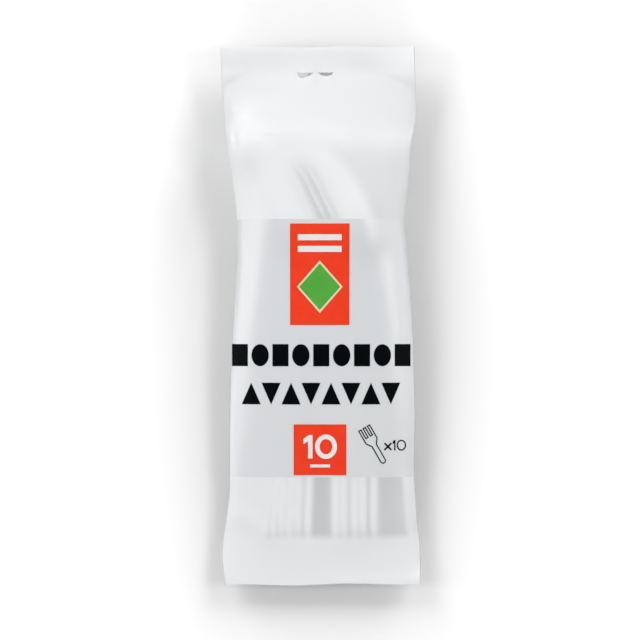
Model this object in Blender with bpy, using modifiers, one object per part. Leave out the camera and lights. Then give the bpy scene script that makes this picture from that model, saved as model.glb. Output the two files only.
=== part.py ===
"""A clear film pack of disposable plastic forks, lying on its back.

Two stacks of five forks lie on their side edges in a tube of film that is sealed
flat at both ends. Metres, +Z up: +Y runs from the handle ends to the header with
the hang slit, +X is to the right seen from the printed front, and the origin is
the middle of the flat back.
"""
import math

import bmesh
import bpy
from mathutils import Matrix, Vector

# Fork, measured along its curved centre line from the handle end
FORK_LENGTH = 0.168
TINE_LENGTH = 0.034
BOWL_LENGTH = 0.020
NECK_LENGTH = 0.016
BEND_FROM_TIP = 0.048
PLASTIC_THICKNESS = 0.0011
HANDLE_WIDTH = 0.0112
HANDLE_DEPTH = 0.0028
HANDLE_END_ROUND = 0.006
HANDLE_CORNER = 0.92
NECK_WIDTH = 0.0082
HEAD_WIDTH = 0.0220
TIP_SPREAD_WIDTH = 0.0200
TINE_COUNT = 4
TINE_WIDTH = 0.0037
TINE_END_WIDTH = 0.0024
TINE_POINT_WIDTH = 0.0011
TINE_POINT_LENGTH = 0.0022
DISH_DEPTH = 0.0020
NECK_TURN = math.radians(24)
NECK_RADIUS = 0.030
HEAD_TURN = math.radians(20)

# Stacks: the gaps are those between one fork and the next, from left to right
CLEARANCE = 0.0003
NESTED_GAP = 0.0005
LEFT_LOOSE_GAP = 0.0012
RIGHT_LOOSE_GAP = 0.0015
LEFT_STACK_GAPS = (NESTED_GAP, NESTED_GAP, NESTED_GAP, LEFT_LOOSE_GAP)
RIGHT_STACK_GAPS = (NESTED_GAP, RIGHT_LOOSE_GAP, NESTED_GAP, RIGHT_LOOSE_GAP)
LEFT_STACK_RIGHT_SIDE = -0.0039
RIGHT_STACK_LEFT_SIDE = 0.0045
LEFT_STACK_LEAN = math.radians(2.5)
RIGHT_STACK_LEAN = 0.0
END_STAGGER = (0.0, 0.0009, 0.0003, 0.0012, 0.0005)

# Film pouch
FILM_GAUGE = 0.0001
FLAT_WIDTH = 0.0802
HEM_LENGTH = 0.0165
HEADER_LENGTH = 0.0360
HEADER_SLOPE = 0.0185
FREE_HALF_WIDTH = 0.018
HEM_SLOPE = 0.0050
SEAM_SLIT = 0.0003
FOLD_HEIGHT_SHARE = 0.36
FOLD_INSET = 4
LEFT_DRAW_IN_HEM = 0.0008
RIGHT_DRAW_IN_HEM = 0.0004
LEFT_DRAW_IN_MIDDLE = 0.0035
RIGHT_DRAW_IN_MIDDLE = 0.0023
LEFT_DRAW_IN_WAIST = 0.0068
RIGHT_DRAW_IN_WAIST = 0.0067
RIGHT_DRAW_IN_HEADER = 0.0016
MIDDLE_START = 0.020
MIDDLE_BEFORE_SHOULDER = 0.070
WAIST_PAST_SHOULDER = 0.006
LEFT_SPREAD_PAST_TIPS = 0.020
RIGHT_SPREAD_PAST_TIPS = 0.010
HANG_SLIT_WIDTH = 0.0145
HANG_SLIT_OPENING = 0.0016
HANG_SLIT_ARCH = 0.0016
HANG_SLIT_X = -0.0023
HANG_SLIT_FROM_TOP = 0.0110

# Facets
SECTION_STEPS = 5
CLIMB_STEPS = 4
STRAIGHT_STATIONS = 8
HEAD_STATIONS = 8
SLIT_STEPS = 8

EXTRA_CUT = 0.001


def clear_scene():
    for item in list(bpy.data.objects):
        bpy.data.objects.remove(item, do_unlink=True)


def new_collection(name):
    collection = bpy.data.collections.new(name)
    bpy.context.scene.collection.children.link(collection)
    return collection


def plastic(name, colour, roughness, alpha=1.0):
    material = bpy.data.materials.new(name)
    material.use_nodes = True
    shader = material.node_tree.nodes["Principled BSDF"]
    shader.inputs["Base Color"].default_value = (*colour, 1.0)
    shader.inputs["Roughness"].default_value = roughness
    shader.inputs["Metallic"].default_value = 0.0
    shader.inputs["Alpha"].default_value = alpha
    return material


def add_object(name, mesh, collection, material=None):
    item = bpy.data.objects.new(name, mesh)
    collection.objects.link(item)
    if material:
        mesh.materials.append(material)
    return item


def smooth_value(position, stops):
    """A value that eases from stop to stop; each stop is (position, value)."""
    if position <= stops[0][0]:
        return stops[0][1]
    for (start, low), (end, high) in zip(stops, stops[1:]):
        if position <= end:
            share = (position - start) / (end - start)
            return low + (high - low) * share * share * (3 - 2 * share)
    return stops[-1][1]


def straight_value(position, stops):
    """A value that runs straight from stop to stop; each stop is (position, value)."""
    if position <= stops[0][0]:
        return stops[0][1]
    for (start, low), (end, high) in zip(stops, stops[1:]):
        if position <= end:
            return low + (high - low) * (position - start) / (end - start)
    return stops[-1][1]


# Places along the fork
TINE_ROOT = FORK_LENGTH - TINE_LENGTH
SHOULDER = TINE_ROOT - BOWL_LENGTH
NECK_START = SHOULDER - NECK_LENGTH
NECK_ARC = NECK_RADIUS * NECK_TURN
HEAD_RADIUS = (BEND_FROM_TIP - NECK_ARC) / HEAD_TURN
STRAIGHT_RUN = FORK_LENGTH - BEND_FROM_TIP


def profile(along):
    """The centre line seen from the side: x, y and the angle it has turned to -X."""
    if along <= STRAIGHT_RUN:
        return 0.0, along, 0.0
    turned = min((along - STRAIGHT_RUN) / NECK_RADIUS, NECK_TURN)
    x = NECK_RADIUS * (math.cos(turned) - 1)
    y = STRAIGHT_RUN + NECK_RADIUS * math.sin(turned)
    rest = along - STRAIGHT_RUN - NECK_ARC
    if rest > 0:
        angle = NECK_TURN + rest / HEAD_RADIUS
        x += HEAD_RADIUS * (math.cos(angle) - math.cos(NECK_TURN))
        y += HEAD_RADIUS * (math.sin(angle) - math.sin(NECK_TURN))
        turned = angle
    return x, y, turned


# On its side edge a fork rests on the head's edge and on the handle end's edge
EDGE_STEP = (HEAD_WIDTH - HANDLE_WIDTH) / 2
FORK_TILT = math.asin(EDGE_STEP / (profile(TINE_ROOT)[1] - HANDLE_END_ROUND))


def fork_half_width(along):
    """Half the fork's width; the handle end is half an ellipse cut a little short."""
    if along < HANDLE_END_ROUND:
        share = 1 - along / HANDLE_END_ROUND
        return HANDLE_WIDTH / 2 * math.sqrt(1 - 0.8 * share * share)
    widths = (
        (HANDLE_END_ROUND, HANDLE_WIDTH / 2),
        (NECK_START, NECK_WIDTH / 2),
        (SHOULDER - NECK_LENGTH / 4, NECK_WIDTH / 2),
        (TINE_ROOT - BOWL_LENGTH / 4, HEAD_WIDTH / 2),
        (TINE_ROOT, HEAD_WIDTH / 2),
        (FORK_LENGTH, TIP_SPREAD_WIDTH / 2),
    )
    return smooth_value(along, widths)


def tine_edges(along):
    """The across positions of the tines' edges, from one side of the head to the other."""
    point_start = FORK_LENGTH - TINE_POINT_LENGTH
    tapers = (
        (TINE_ROOT, TINE_WIDTH),
        (point_start, TINE_END_WIDTH),
        (FORK_LENGTH, TINE_POINT_WIDTH),
    )
    width = straight_value(along, tapers)
    outer_centre = fork_half_width(along) - straight_value(along, tapers[:2]) / 2
    edges = []
    for index in range(TINE_COUNT):
        centre = outer_centre * (2 * index / (TINE_COUNT - 1) - 1)
        edges += [centre - width / 2, centre + width / 2]
    return edges


def handle_edges(half_width):
    """The across positions of the handle: rim, corner and plate, on each side."""
    columns = 2 * TINE_COUNT
    corner = half_width * HANDLE_CORNER
    inner = [corner * (2 * i / (columns - 3) - 1) for i in range(columns - 2)]
    return [-half_width] + inner + [half_width]


def fork_row(along):
    """One row of points across the fork, on its outer face."""
    half_width = fork_half_width(along)
    head_share = smooth_value(along, ((NECK_START, 0.0), (TINE_ROOT, 1.0)))
    rim_share = smooth_value(along, ((NECK_START, 1.0), (SHOULDER + BOWL_LENGTH / 2, 0.0)))
    end_share = smooth_value(along, ((0.0, 0.45), (HANDLE_END_ROUND, 1.0)))
    dish = smooth_value(
        along, ((SHOULDER - NECK_LENGTH / 2, 0.0), (TINE_ROOT, 1.0), (FORK_LENGTH, 0.3))
    )
    x, y, turned = profile(along)
    handle = handle_edges(half_width)
    head = tine_edges(along)
    row = []
    for index, (on_handle, on_head) in enumerate(zip(handle, head)):
        across = on_handle + (on_head - on_handle) * head_share
        depth = DISH_DEPTH * dish * (across / half_width) ** 2
        if index in (0, len(handle) - 1):
            depth += HANDLE_DEPTH * rim_share * end_share
        row.append(Vector((x - depth * math.cos(turned), y - depth * math.sin(turned), across)))
    return row


def fork_stations():
    """Places of the rows along the fork, and the number of the row at the tine roots."""
    handle = [HANDLE_END_ROUND * share for share in (0.0, 0.12, 0.35, 0.65, 1.0)]
    handle += [(HANDLE_END_ROUND + NECK_START) / 2, NECK_START]
    neck = [NECK_START + NECK_LENGTH * share for share in (0.4, 0.75, 1.0)]
    bowl = [SHOULDER + BOWL_LENGTH * share for share in (0.25, 0.5, 0.75, 1.0)]
    point_start = FORK_LENGTH - TINE_POINT_LENGTH
    run = point_start - TINE_ROOT
    tines = [TINE_ROOT + run * share for share in (0.34, 0.67, 1.0)]
    rows = handle + neck + bowl + tines + [FORK_LENGTH]
    return rows, len(handle + neck + bowl) - 1


def fork_mesh():
    """The fork's outer face as an open sheet, with gaps between the tines."""
    sheet = bmesh.new()
    stations, root_row = fork_stations()
    rows = [[sheet.verts.new(point) for point in fork_row(place)] for place in stations]
    for number, (low, high) in enumerate(zip(rows, rows[1:])):
        for column in range(len(low) - 1):
            between_tines = column % 2 == 1
            if number >= root_row and between_tines:
                continue
            sheet.faces.new((low[column], high[column], high[column + 1], low[column + 1]))
    loose = [vert for vert in sheet.verts if not vert.link_faces]
    bmesh.ops.delete(sheet, geom=loose, context="VERTS")
    sheet.normal_update()
    if sum(face.normal.x for face in sheet.faces) < 0:
        bmesh.ops.reverse_faces(sheet, faces=sheet.faces)
    mesh = bpy.data.meshes.new("fork")
    sheet.to_mesh(mesh)
    sheet.free()
    mesh.shade_smooth()
    mesh.set_sharp_from_angle(angle=math.radians(35))
    return mesh


def add_fork(name, mesh, side_x, lean, end_y, collection, material):
    """A fork on its side edge: the head's edge and the handle end's edge rest on the film."""
    fork = add_object(name, mesh, collection)
    if not mesh.materials:
        mesh.materials.append(material)
    rest_height = FILM_GAUGE + 2 * CLEARANCE + HANDLE_WIDTH / 2
    pivot = Matrix.Translation((side_x, end_y, rest_height))
    turn = Matrix.Rotation(-lean, 4, "Z") @ Matrix.Rotation(FORK_TILT, 4, "X")
    settle = Matrix.Translation((0.0, -HANDLE_END_ROUND, 0.0))
    advance = Matrix.Translation((0.0, HANDLE_END_ROUND, 0.0))
    fork.matrix_world = advance @ pivot @ turn @ settle
    shell = fork.modifiers.new("plastic", "SOLIDIFY")
    shell.thickness = PLASTIC_THICKNESS
    shell.offset = -1.0
    shell.use_even_offset = True
    return fork


def stack_sides(gaps):
    """Each fork's outer face, measured from the first fork's inner side."""
    places = [HANDLE_DEPTH]
    for gap in gaps:
        places.append(places[-1] + gap + HANDLE_DEPTH)
    return places


def add_stack(side, inner_side, gaps, lean, end_y, collection, material):
    mesh = fork_mesh()
    forks = []
    for number, place in enumerate(stack_sides(gaps), 1):
        stagger = END_STAGGER[(number - 1) % len(END_STAGGER)]
        name = f"{side}_fork_{number}"
        x = inner_side + place / math.cos(lean)
        forks.append(add_fork(name, mesh, x, lean, end_y + stagger, collection, material))
    return forks


# Extent of the contents, which the film is drawn over
FORK_REACH = profile(FORK_LENGTH)[1] + max(END_STAGGER)
POUCH_LENGTH = HEM_LENGTH + FORK_REACH + HEADER_LENGTH
BOTTOM_EDGE = -POUCH_LENGTH / 2
TOP_EDGE = POUCH_LENGTH / 2
HANDLE_END = BOTTOM_EDGE + HEM_LENGTH
TIP_END = TOP_EDGE - HEADER_LENGTH
SHOULDER_Y = HANDLE_END + profile(SHOULDER)[1]
ROOT_Y = HANDLE_END + profile(TINE_ROOT)[1]
LEFT_STACK_WIDTH = stack_sides(LEFT_STACK_GAPS)[-1]
RIGHT_STACK_WIDTH = stack_sides(RIGHT_STACK_GAPS)[-1]
LEFT_STACK_LEFT_SIDE = LEFT_STACK_RIGHT_SIDE - LEFT_STACK_WIDTH
RIGHT_STACK_RIGHT_SIDE = RIGHT_STACK_LEFT_SIDE + RIGHT_STACK_WIDTH
SEAL_THICKNESS = 2 * FILM_GAUGE


def bend_shift(y, lean):
    """How far the forks' bend and lean carry them along X at this y."""
    along = min(max(y - HANDLE_END, 0.0), FORK_REACH)
    nearest = along
    for _ in range(6):
        nearest += along - profile(nearest)[1]
    return profile(min(nearest, FORK_LENGTH))[0] + along * math.tan(lean)


def contents_sides(y):
    """The left and right limits of the forks at this y, with room for the film.

    Past the tips the film is free, and the limits draw back towards the middle.
    """
    dish_room = smooth_value(y, ((SHOULDER_Y, 0.0), (ROOT_Y, DISH_DEPTH)))
    room = CLEARANCE * 2
    left = LEFT_STACK_LEFT_SIDE + bend_shift(y, LEFT_STACK_LEAN) - room - dish_room
    right = RIGHT_STACK_RIGHT_SIDE + bend_shift(y, RIGHT_STACK_LEAN) + room
    free = smooth_value(y, ((TIP_END, 0.0), (TIP_END + HEADER_SLOPE, 1.0)))
    return left + (-FREE_HALF_WIDTH - left) * free, right + (FREE_HALF_WIDTH - right) * free


def film_height(y):
    """The outer height of the film over the middle of the contents."""
    cover = 2 * (FILM_GAUGE + CLEARANCE * 2)
    handle_top = HANDLE_WIDTH + cover
    tip_rise = TINE_LENGTH * math.sin(FORK_TILT) - (HEAD_WIDTH - TIP_SPREAD_WIDTH) / 2
    head_top = HEAD_WIDTH + cover + max(tip_rise, 0.0)
    if y < HANDLE_END:
        share = min((HANDLE_END - y) / HEM_SLOPE, 1.0)
        return SEAL_THICKNESS + (handle_top - SEAL_THICKNESS) * (1 - share) ** 1.5
    if y > TIP_END:
        share = min((y - TIP_END) / HEADER_SLOPE, 1.0)
        return SEAL_THICKNESS + (head_top - SEAL_THICKNESS) * (1 - share) ** 1.4
    stops = ((HANDLE_END, handle_top), (ROOT_Y - BOWL_LENGTH, head_top), (TIP_END, head_top))
    return straight_value(y, stops)


def film_sides(y):
    """The left and right edges of the pouch, drawn in where the contents are thick."""
    flat = FLAT_WIDTH / 2
    middle_start = HANDLE_END + MIDDLE_START
    middle_end = SHOULDER_Y - MIDDLE_BEFORE_SHOULDER
    waist = SHOULDER_Y + WAIST_PAST_SHOULDER
    left_stops = (
        (HANDLE_END, flat - LEFT_DRAW_IN_HEM),
        (middle_start, flat - LEFT_DRAW_IN_MIDDLE),
        (middle_end, flat - LEFT_DRAW_IN_MIDDLE),
        (waist, flat - LEFT_DRAW_IN_WAIST),
        (TIP_END + LEFT_SPREAD_PAST_TIPS, flat),
    )
    right_stops = (
        (HANDLE_END, flat - RIGHT_DRAW_IN_HEM),
        (middle_start, flat - RIGHT_DRAW_IN_MIDDLE),
        (middle_end, flat - RIGHT_DRAW_IN_MIDDLE),
        (waist, flat - RIGHT_DRAW_IN_WAIST),
        (TIP_END + RIGHT_SPREAD_PAST_TIPS, flat - RIGHT_DRAW_IN_HEADER),
    )
    left_limit, right_limit = contents_sides(y)
    room = 3 * CLEARANCE
    left = min(-smooth_value(y, left_stops), left_limit - room)
    right = max(smooth_value(y, right_stops), right_limit + room)
    return left, right


def film_section(y, inset=0.0):
    """The pouch's outline across its length, as x and z points in order.

    It runs from the left fold along the back to the right fold, and back over the front.
    With no inset it is the outer skin, and with the film's gauge it is the inner one.
    """
    top = film_height(y) - inset
    left, right = film_sides(y)
    left += FOLD_INSET * inset
    right -= FOLD_INSET * inset
    rest_left, rest_right = contents_sides(y)
    fold = FOLD_HEIGHT_SHARE * (film_height(y) - SEAL_THICKNESS) + SEAL_THICKNESS / 2
    fold_half = FILM_GAUGE - 0.75 * inset
    width = rest_right - rest_left
    plateau = [rest_left + width * step / SECTION_STEPS for step in range(SECTION_STEPS + 1)]
    shares = [step / CLIMB_STEPS for step in range(1, CLIMB_STEPS + 1)]

    def lower(rest, side):
        rise = fold - fold_half - inset
        return [(rest + (side - rest) * share, inset + rise * share**2) for share in shares]

    def upper(rest, side):
        drop = top - fold - fold_half
        spread = [share**0.7 for share in shares]
        return [(rest + (side - rest) * share, top - drop * share**1.5) for share in spread]

    under = lower(rest_left, left)[::-1] + [(x, inset) for x in plateau] + lower(rest_right, right)
    over = upper(rest_left, left)[::-1] + [(x, top) for x in plateau] + upper(rest_right, right)
    return under + over[::-1]


def loft(name, stations, outlines):
    """A closed solid through one outline at each station along Y."""
    solid = bmesh.new()
    rings = []
    for y, outline in zip(stations, outlines):
        rings.append([solid.verts.new((x, y, z)) for x, z in outline])
    for low, high in zip(rings, rings[1:]):
        for index in range(len(low)):
            after = (index + 1) % len(low)
            solid.faces.new((low[index], high[index], high[after]))
            solid.faces.new((low[index], high[after], low[after]))
    for ring in (rings[0], rings[-1]):
        under = ring[: len(ring) // 2]
        over = ring[len(ring) // 2 :][::-1]
        for index in range(len(under) - 1):
            solid.faces.new((under[index], under[index + 1], over[index + 1], over[index]))
    bmesh.ops.recalc_face_normals(solid, faces=solid.faces)
    mesh = bpy.data.meshes.new(name)
    solid.to_mesh(mesh)
    solid.free()
    return mesh


def film_stations():
    """Places of the sections: close together where the film climbs off its seals."""
    hem = [HANDLE_END - HEM_SLOPE * share for share in (1.0, 0.8, 0.55, 0.3, 0.1)]
    run = SHOULDER_Y - HANDLE_END
    contents = [HANDLE_END + run * step / STRAIGHT_STATIONS for step in range(STRAIGHT_STATIONS)]
    curve = TIP_END - SHOULDER_Y
    head = [SHOULDER_Y + curve * step / HEAD_STATIONS for step in range(HEAD_STATIONS)]
    header = [TIP_END + HEADER_SLOPE * share for share in (0.0, 0.1, 0.25, 0.45, 0.65, 0.85, 1.0)]
    return [BOTTOM_EDGE] + hem + contents + head + header + [TOP_EDGE]


def add_cutter(name, mesh, cutters):
    cutter = add_object(name, mesh, cutters)
    cutter.hide_render = True
    cutter.display_type = "WIRE"
    return cutter


def cut(target, cutter):
    boolean = target.modifiers.new(cutter.name, "BOOLEAN")
    boolean.operation = "DIFFERENCE"
    boolean.solver = "EXACT"
    boolean.object = cutter


def seam_cutter(cutters):
    """The hairline between the two edges of the film, where the back seam closes it."""
    box = bmesh.new()
    bmesh.ops.create_cube(box, size=1.0)
    length = TIP_END - HANDLE_END - 2 * HANDLE_END_ROUND
    scale = Vector((SEAM_SLIT, length, 2 * (FILM_GAUGE + CLEARANCE)))
    bmesh.ops.scale(box, vec=scale, verts=box.verts)
    bmesh.ops.translate(box, vec=(0.0, (TIP_END + HANDLE_END) / 2, 0.0), verts=box.verts)
    mesh = bpy.data.meshes.new("seam_cutter")
    box.to_mesh(mesh)
    box.free()
    return add_cutter("seam_cutter", mesh, cutters)


def hang_slit_cutter(cutters):
    """An arched slit through both layers of the header."""
    upper = []
    lower = []
    for step in range(SLIT_STEPS + 1):
        share = 2 * step / SLIT_STEPS - 1
        x = HANG_SLIT_X + share * HANG_SLIT_WIDTH / 2
        arch = HANG_SLIT_ARCH * (1 - share**2)
        half_opening = HANG_SLIT_OPENING / 2 * math.sqrt(max(1 - share**2, 0.04))
        upper.append((x, arch + half_opening))
        lower.append((x, arch - half_opening))
    y_base = TOP_EDGE - HANG_SLIT_FROM_TOP
    outline = lower + upper[::-1]
    solid = bmesh.new()
    floor = [solid.verts.new((x, y_base + rise, -EXTRA_CUT)) for x, rise in outline]
    face = solid.faces.new(floor)
    extruded = bmesh.ops.extrude_face_region(solid, geom=[face])
    top = [item for item in extruded["geom"] if isinstance(item, bmesh.types.BMVert)]
    bmesh.ops.translate(solid, vec=(0.0, 0.0, 2 * EXTRA_CUT + SEAL_THICKNESS), verts=top)
    bmesh.ops.recalc_face_normals(solid, faces=solid.faces)
    mesh = bpy.data.meshes.new("hang_slit_cutter")
    solid.to_mesh(mesh)
    solid.free()
    return add_cutter("hang_slit_cutter", mesh, cutters)


def add_film_pouch(collection, cutters, material):
    stations = film_stations()
    outlines = [film_section(y) for y in stations]
    pouch = add_object("film_pouch", loft("film_pouch", stations, outlines), collection, material)
    hollow_from = HANDLE_END - HEM_SLOPE * 0.85
    hollow_to = TIP_END + HEADER_SLOPE * 0.9
    inner_stations = [y for y in stations if hollow_from < y < hollow_to]
    inner_outlines = [film_section(y, FILM_GAUGE) for y in inner_stations]
    hollow = add_cutter("hollow_cutter", loft("hollow", inner_stations, inner_outlines), cutters)
    cut(pouch, hollow)
    cut(pouch, seam_cutter(cutters))
    cut(pouch, hang_slit_cutter(cutters))
    return pouch


def main():
    clear_scene()
    parts = new_collection("fork_pack")
    cutters = new_collection("cutters")
    cutters.hide_render = True
    film = plastic("clear_film", (0.93, 0.94, 0.95), 0.25, 0.35)
    fork_plastic = plastic("fork_plastic", (0.90, 0.91, 0.92), 0.35)
    left = (LEFT_STACK_LEFT_SIDE, LEFT_STACK_GAPS, LEFT_STACK_LEAN)
    right = (RIGHT_STACK_LEFT_SIDE, RIGHT_STACK_GAPS, RIGHT_STACK_LEAN)
    add_stack("left", *left, HANDLE_END, parts, fork_plastic)
    add_stack("right", *right, HANDLE_END, parts, fork_plastic)
    add_film_pouch(parts, cutters, film)


main()
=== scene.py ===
"""Looks of the plastic fork pack: hazy clear film drawn over two stacks of white forks."""
import math

import bmesh
import bpy
import numpy as np
from mathutils import Matrix, Vector
from mathutils.bvhtree import BVHTree


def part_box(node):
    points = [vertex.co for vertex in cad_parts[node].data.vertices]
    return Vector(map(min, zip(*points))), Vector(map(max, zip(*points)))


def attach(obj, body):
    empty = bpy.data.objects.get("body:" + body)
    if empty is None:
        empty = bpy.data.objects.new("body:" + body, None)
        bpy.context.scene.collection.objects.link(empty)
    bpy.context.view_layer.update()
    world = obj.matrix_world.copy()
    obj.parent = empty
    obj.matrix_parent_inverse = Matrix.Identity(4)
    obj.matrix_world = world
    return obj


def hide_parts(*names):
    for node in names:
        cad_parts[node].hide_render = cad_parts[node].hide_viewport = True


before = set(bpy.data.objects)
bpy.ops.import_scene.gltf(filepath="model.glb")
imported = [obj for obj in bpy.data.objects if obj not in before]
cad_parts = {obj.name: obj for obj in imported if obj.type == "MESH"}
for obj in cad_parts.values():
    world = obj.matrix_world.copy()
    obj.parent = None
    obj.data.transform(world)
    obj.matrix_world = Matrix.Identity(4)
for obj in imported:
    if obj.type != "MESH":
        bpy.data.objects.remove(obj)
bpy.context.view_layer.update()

MM = 0.001

# Photograph frame: millimetres a pixel, and the pixel that shows the pack's origin
MM_PER_PIXEL = 0.40
ORIGIN_PIXEL = (320.75, 316.2)
PHOTO_SIZE = 640

# Fork sizes: the CAD forks' own, but for tine points a little broader
FORK_LENGTH = 0.168
TINE_LENGTH = 0.034
BOWL_LENGTH = 0.020
NECK_LENGTH = 0.016
BEND_FROM_TIP = 0.048
PLASTIC_THICKNESS = 0.0011
HANDLE_WIDTH = 0.0112
HANDLE_DEPTH = 0.0028
HANDLE_END_ROUND = 0.006
HANDLE_CORNER = 0.92
NECK_WIDTH = 0.0082
HEAD_WIDTH = 0.0220
TIP_SPREAD_WIDTH = 0.0200
TINE_COUNT = 4
TINE_WIDTH = 0.0037
TINE_END_WIDTH = 0.0024
TINE_POINT_WIDTH = 0.0013
TINE_POINT_LENGTH = 0.0022
DISH_DEPTH = 0.0020
NECK_TURN = math.radians(24)
NECK_RADIUS = 0.030
HEAD_TURN = math.radians(20)
STACK_LEAN = {"left": math.radians(2.5), "right": 0.0}
FORKS_IN_A_STACK = 5
FORK_EDGE_ROUND = 0.00022
END_ROUND_STEPS = (0.0, 0.06, 0.16, 0.32, 0.55, 0.8)
END_NARROWING = 0.8
END_RIM_SHARE = 0.45
DISH_AT_TIPS = 0.3

# Film pouch: the half width and the cells of its height grid, the rows of its mesh, the steps
# round one row, and the blur of its outline
GRID_HALF_WIDTH = 0.0415
CELL = 0.0005
ROW_STEP = 0.0007
FRONT_STEPS = 132
BACK_STEPS = 60
OUTLINE_BLUR = 0.0022

# Levels of the film, and how its two ends rise off the floor
BACK_LEVEL = 0.00020
SEAL_THICKNESS = 0.00015
FILM_GAP = 0.00025
HEM_RISE = 0.0082
HEM_SLOPE_LENGTH = 0.0150
HEADER_RISE = 0.0150
HEADER_SEAL_LENGTH = 0.0100
HEADER_SEAL_SET_BACK = 0.002
HEADER_SEAL_BOW = 0.005
FOLD_HEIGHT_SHARE = 0.50
PILLOW_HEIGHT_SHARE = 0.93
CURL_START = {"hem": 0.1005, "header": 0.0960}
CURL_SHARE = {"hem": 0.4, "header": 0.9}
CURL_HEIGHT = 0.0012
BULGE_HEIGHT = 0.0013
BULGE_X = 0.017
BULGE_WIDTH = 0.009
BULGE_END = 0.1065
SEAM_HALF_WIDTH = 0.005
SEAM_FROM_END = 0.003
SEAM_STEP = 0.002

# Draping over the forks: the reach round them, then the blur across and along
CLOSE_DRAPE = (0.0010, 0.0007, 0.0009)
LOOSE_DRAPE = (0.0065, 0.0032, 0.0040)
CLEARING_DRAPE = (0.0080, 0.0032, 0.0040)
CLEARING_SHARE = 1.1
UNDER_DRAPE = (0.0025, 0.0008, 0.0010)

# Smoothing of the film: blurs across and along, how far the loose one takes to set in, the
# size of the shoulder's, the margin at the sides, and the sweeps that pull the film tight
SETTLING_BLURS = ((0.0010, 0.0014), (0.0005, 0.0007))
LAST_BLUR = (0.0003, 0.0003)
LOOSE_BLUR = (0.0032, 0.0040)
LOOSE_SETS_IN = 0.020
RIGHT_SHOULDER_PIXEL = (380, 234)
RIGHT_SHOULDER_SIZE = (0.010, 0.014)
RIGHT_SHOULDER_BLUR = (0.0060, 0.0080)
TIPS_BLUR = 0.0030
PAST_TIPS_BLUR = (0.0050, 0.0070)
EDGE_MARGIN = 0.004
TIGHTENING_SWEEPS = 260
TIGHTENING_STEP = 1.85

# Pillow form of the tube: where it goes flat at the tips and at the handle ends, and where
# across its width the back curves up to the side folds
FLAT_BEFORE_TIPS = 0.012
FLAT_PAST_TIPS = 0.014
FLAT_AT_HANDLES = 0.010
SIDE_CURVE_START = 0.55
SIDE_CURVE_POWER = 1.3

# Cut edges: where the cut's waves are full, and for each cut the height of its waves, their
# turns in radians a metre, its slant, its offset and where its waves begin
CUT_EDGE = 0.1068
HEM_CUT = (0.0003, 150, 0.010, 0.0002, 0.096)
HEADER_CUT = (0.00015, 210, 0.008, -0.0004, 0.090)

# Hang slit: how far its lower lip hangs open from left to right, and the tongue between its gaps
SLIT_PIXEL = (319, 73.5)
SLIT_FADE = 0.0065
SLIT_PLACES_MM = (-9.4, -8.9, -7.4, -5.0, -2.8, -1.2, 0.2, 2.5, 4.4, 5.0)
SLIT_GAPS_MM = (0.0, 1.9, 2.3, 1.5, 0.0, 0.0, 1.1, 1.5, 1.0, 0.0)
TONGUE_X = -0.002
TONGUE_WIDTH = 0.0016
TONGUE_RISE = 0.0007

# Ripples: the height, the seed, and the width across and along; the share of the fine ones
# that shows under the ink, and how far the gathers reach from each seal
BROAD_RIPPLES = (0.00028, 3, 0.006, 0.011)
FINE_RIPPLES = (0.00010, 4, 0.0022, 0.008)
GATHERS = (0.00014, 5, 0.0018, 0.010)
END_WAVES = (0.00040, 8, 0.009, 0.012)
RIPPLES_UNDER_INK = 0.4
GATHERS_AT_HEM = 0.006
GATHERS_AT_HEADER = 0.014

# Creases: two pixels of the photograph, the width in millimetres and the height in metres
CREASES = (
    ((226, 500), (285, 552), 2.6, 0.0005),
    ((236, 490), (290, 540), 2.4, -0.0004),
    ((402, 470), (416, 540), 2.0, 0.0006),
    ((330, 130), (408, 127), 2.4, 0.0003),
    ((335, 141), (412, 142), 3.0, -0.0003),
    ((321, 560), (318, 330), 3.2, -0.0010),
)

# Haze of the film from 0 to 1: of bare film, and what a fork close under it adds
UPPER_HAZE = 0.64
UPPER_FORK_HAZE = 0.36
LOWER_HAZE = 0.22
LOWER_FORK_HAZE = 0.70
SIDE_HAZE = 0.85
END_HAZE = 0.90
FORK_HAZE_BLUR = (0.0010, 0.0030)

# Where the haze changes: over x in the upper film, which turns nearly opaque white toward the left,
# partly haze and partly painted sheen, and in from each side of the lower film
LEFT_HAZE_AND_SHEEN = (-0.020, -0.004)
LEFT_SIDE_WIDTH = (0.0165, 0.0205)
RIGHT_SIDE_WIDTH = (0.003, 0.007)

# The clearer streak in the upper film
CLEAR_STREAK_HAZE = -0.62
CLEAR_STREAK_PIXEL = (323, 212)
CLEAR_STREAK_WIDTH = 0.0055
CLEAR_STREAK_LEAN = 0.45
CLEAR_STREAK_FADE = (0.008, 0.026)

# How clear the film is at haze 0 and at haze 1, and how the film and the print shine
CLEAREST_ALPHA = 0.50
HAZIEST_ALPHA = 0.93
FILM_SHINE = 0.35
COAT_WEIGHT = 0.6
COAT_ROUGHNESS = 0.28

# Colours: the darker and the lighter tone of each surface
FILM_TONES = ((0.925, 0.938, 0.950), (0.935, 0.947, 0.958))
FORK_TONES = ((0.905, 0.910, 0.915), (0.930, 0.935, 0.940))
BAND_TONES = ((0.690, 0.706, 0.726), (0.710, 0.726, 0.742))
RED_TONES = ((0.88, 0.046, 0.013), (0.92, 0.054, 0.017))
GREEN_TONES = ((0.084, 0.38, 0.048), (0.094, 0.41, 0.054))
CREAM_TONES = ((0.78, 0.76, 0.45), (0.84, 0.81, 0.52))
WHITE_TONES = ((0.82, 0.83, 0.84), (0.86, 0.87, 0.88))
BLACK_TONES = ((0.0010, 0.0018, 0.0022), (0.0016, 0.0024, 0.0030))
INK_SHINE = 0.2
BLACK_SHINE = 0.02

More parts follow.
